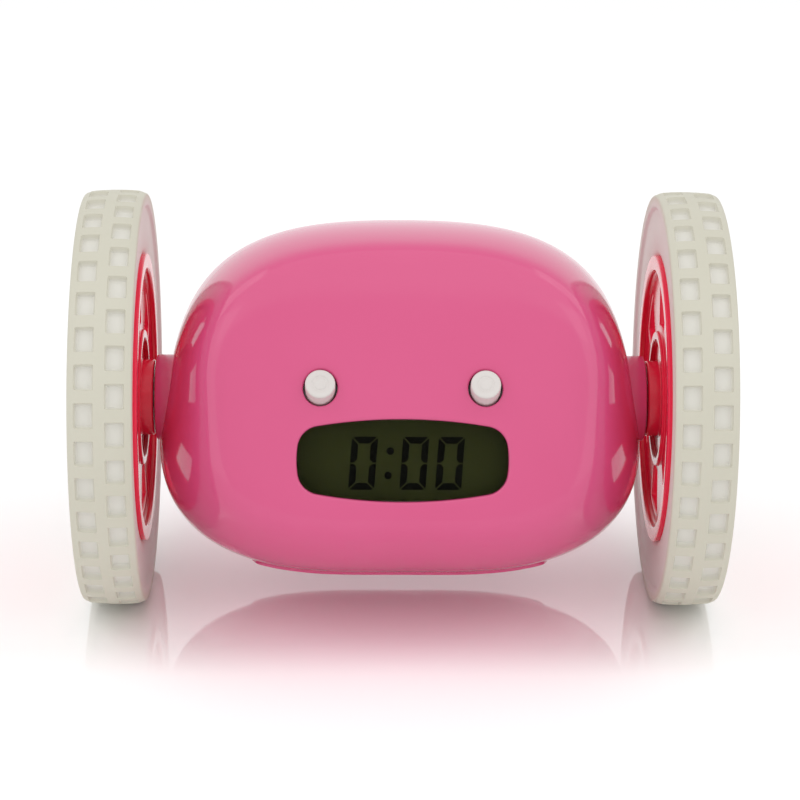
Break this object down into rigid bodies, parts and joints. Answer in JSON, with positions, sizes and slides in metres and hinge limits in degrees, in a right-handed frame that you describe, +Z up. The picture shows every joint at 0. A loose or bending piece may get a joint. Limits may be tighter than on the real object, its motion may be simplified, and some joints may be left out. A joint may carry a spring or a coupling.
{
  "type": "two-wheeled alarm clock",
  "caption": "Egg-shaped plastic alarm clock slung between two large rubber-tyred wheels, with a dark digital display and round eye-like buttons.",
  "frame": {"origin": "on the floor, at the middle of the bounding box, straight below the axle", "axes": "+X along the axle, longest extent; +Z up; the clock face looks toward -Y"},
  "size_m": [0.1348, 0.089, 0.089],
  "materials": {
    "case_plastic": "polished pink ABS",
    "tyre_rubber": "soft off-white rubber, satin",
    "white_plastic": "white moulded plastic, satin",
    "grey_plastic": "moulded plastic",
    "dark_lens": "smoked clear plastic",
    "display_glass": "olive liquid crystal display",
    "strip_rubber": "layered conductive rubber",
    "board": "green circuit board",
    "black_plastic": "black moulding",
    "steel": "plated steel",
    "motor_can": "plated can",
    "brass": "turned brass",
    "cell_sleeve": "plain printed sleeve"
  },
  "bodies": {
    "case": {"front_shell": "case_plastic", "rear_shell": "case_plastic", "battery_tray": "grey_plastic", "batteries": "cell_sleeve", "cell_contacts": "steel", "lcd_lens": "dark_lens", "lcd_frame": "grey_plastic", "lcd_glass": "display_glass", "contact_strip": "strip_rubber", "main_board": "board", "board_parts": "black_plastic", "button_board": "board", "snooze_board": "board", "rear_board": "board", "press_switches": "black_plastic", "slide_switch": "steel", "speaker": "black_plastic", "case_screws": "steel", "board_screws": "steel", "left_bush": "white_plastic", "left_gear_frame": "grey_plastic", "left_gear_cover": "grey_plastic", "left_gear_screws": "steel", "left_gear_pin": "steel", "left_motor": "motor_can", "right_bush": "white_plastic", "right_gear_frame": "grey_plastic", "right_gear_cover": "grey_plastic", "right_gear_screws": "steel", "right_gear_pin": "steel", "right_motor": "motor_can"},
    "battery_door": {"battery_door": "case_plastic"},
    "hour_button": {"hour_button": "white_plastic"},
    "minute_button": {"minute_button": "white_plastic"},
    "snooze_button": {"snooze_button": "white_plastic"},
    "time_key": {"time_key": "white_plastic"},
    "alarm_key": {"alarm_key": "white_plastic"},
    "run_switch": {"run_switch": "white_plastic"},
    "left_wheel": {"left_tyre": "tyre_rubber", "left_rim": "case_plastic", "left_hub_cap": "case_plastic", "left_wheel_screw": "steel", "left_axle": "steel", "left_axle_gear": "white_plastic"},
    "left_compound": {"left_compound_gear": "white_plastic"},
    "left_rotor": {"left_pinion": "brass"},
    "right_wheel": {"right_tyre": "tyre_rubber", "right_rim": "case_plastic", "right_hub_cap": "case_plastic", "right_wheel_screw": "steel", "right_axle": "steel", "right_axle_gear": "white_plastic"},
    "right_compound": {"right_compound_gear": "white_plastic"},
    "right_rotor": {"right_pinion": "brass"}
  },
  "joints": [
    {"name": "left_wheel_spin", "type": "hinge", "parent": "case", "child": "left_wheel", "pos_m": [-0.0609, 0, 0.0445], "axis": [1, 0, 0], "continuous": true},
    {"name": "left_compound_spin", "type": "hinge", "parent": "case", "child": "left_compound", "pos_m": [-0.034, 0.01477, 0.04713], "axis": [1, 0, 0], "continuous": true},
    {"name": "left_rotor_spin", "type": "hinge", "parent": "case", "child": "left_rotor", "pos_m": [-0.032, 0.014, 0.0585], "axis": [1, 0, 0], "continuous": true},
    {"name": "right_wheel_spin", "type": "hinge", "parent": "case", "child": "right_wheel", "pos_m": [0.0609, 0, 0.0445], "axis": [1, 0, 0], "continuous": true},
    {"name": "right_compound_spin", "type": "hinge", "parent": "case", "child": "right_compound", "pos_m": [0.034, 0.01477, 0.04713], "axis": [1, 0, 0], "continuous": true},
    {"name": "right_rotor_spin", "type": "hinge", "parent": "case", "child": "right_rotor", "pos_m": [0.032, 0.014, 0.0585], "axis": [1, 0, 0], "continuous": true},
    {"name": "hour_button_press", "type": "slide", "parent": "case", "child": "hour_button", "axis": [0, 0.7547, -0.6561], "range_m": [0, 0.0008], "stiffness_N_per_m": 900, "springref_m": -0.0008},
    {"name": "minute_button_press", "type": "slide", "parent": "case", "child": "minute_button", "axis": [0, 0.7547, -0.6561], "range_m": [0, 0.0008], "stiffness_N_per_m": 900, "springref_m": -0.0008},
    {"name": "snooze_button_press", "type": "slide", "parent": "case", "child": "snooze_button", "axis": [0, -0.7071, -0.7071], "range_m": [0, 0.0008], "stiffness_N_per_m": 900, "springref_m": -0.0008},
    {"name": "time_key_press", "type": "slide", "parent": "case", "child": "time_key", "axis": [0, -1, 0], "range_m": [0, 0.0008], "stiffness_N_per_m": 900, "springref_m": -0.0008},
    {"name": "alarm_key_press", "type": "slide", "parent": "case", "child": "alarm_key", "axis": [0, -1, 0], "range_m": [0, 0.0008], "stiffness_N_per_m": 900, "springref_m": -0.0008},
    {"name": "run_switch_slide", "type": "slide", "parent": "case", "child": "run_switch", "axis": [1, 0, 0], "range_m": [0, 0.005]},
    {"name": "battery_door_hinge", "type": "hinge", "parent": "case", "child": "battery_door", "pos_m": [0, 0.0224, 0.0114], "axis": [1, 0, 0], "range_deg": [0, 75]}
  ],
  "couplings": [
    {"joint": "left_compound_spin", "follows": "left_wheel_spin", "ratio": -4},
    {"joint": "left_rotor_spin", "follows": "left_wheel_spin", "ratio": 15},
    {"joint": "right_compound_spin", "follows": "right_wheel_spin", "ratio": -4},
    {"joint": "right_rotor_spin", "follows": "right_wheel_spin", "ratio": 15}
  ]
}
